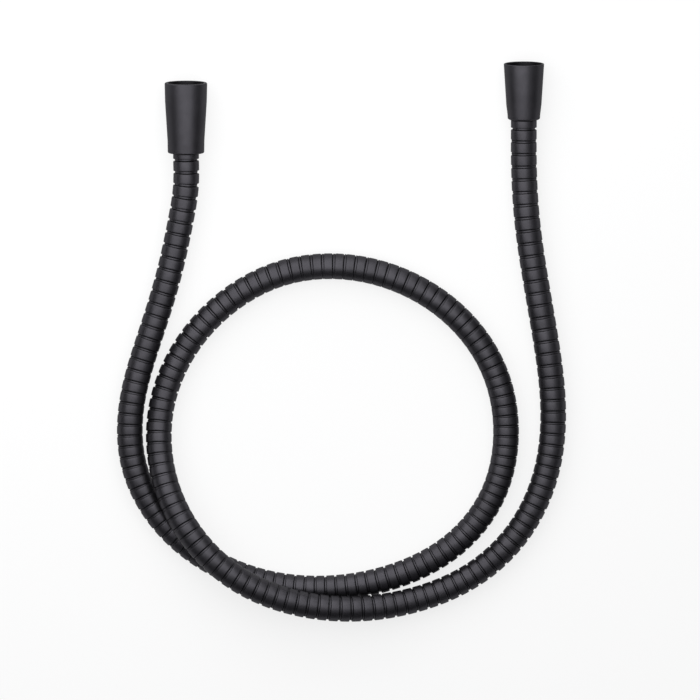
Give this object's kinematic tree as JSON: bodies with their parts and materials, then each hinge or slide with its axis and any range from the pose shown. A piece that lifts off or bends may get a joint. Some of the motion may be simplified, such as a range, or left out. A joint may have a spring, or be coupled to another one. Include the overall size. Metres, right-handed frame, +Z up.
{
  "type": "shower hose",
  "caption": "Flexible black metal shower hose laid in an open loop, with a long and a short swivelling cone nut for half-inch threads.",
  "frame": {"origin": "on the surface that the hose lies on, midway between the two connectors", "axes": "+X from the long nut to the short nut, +Y the way that both nuts' mouths face, +Z up"},
  "size_m": [0.2602, 0.3243, 0.0309],
  "materials": {
    "casing_black": "satin black coating",
    "nut_black": "satin black coating",
    "ferrule_black": "satin black coating",
    "insert_brass": "turned, bare",
    "washer_rubber": "matt",
    "inner_hose_plastic": "matt",
    "slip_ring_plastic": "smooth"
  },
  "bodies": {
    "hose": {"hose_casing": "casing_black", "inner_hose": "inner_hose_plastic", "long_ferrule": "ferrule_black", "short_ferrule": "ferrule_black", "long_insert": "insert_brass", "short_insert": "insert_brass", "long_slip_ring": "slip_ring_plastic", "short_slip_ring": "slip_ring_plastic"},
    "long_nut": {"long_cone_nut": "nut_black", "long_washer": "washer_rubber"},
    "short_nut": {"short_cone_nut": "nut_black", "short_washer": "washer_rubber"}
  },
  "joints": [
    {"name": "long_nut_swivel", "type": "hinge", "parent": "hose", "child": "long_nut", "pos_m": [-0.0977, 0.0165, 0.01264], "axis": [0, 0.9987, 0.051], "continuous": true},
    {"name": "short_nut_swivel", "type": "hinge", "parent": "hose", "child": "short_nut", "pos_m": [0.0979, 0.0275, 0.0117], "axis": [0, 0.998, 0.0632], "continuous": true}
  ]
}
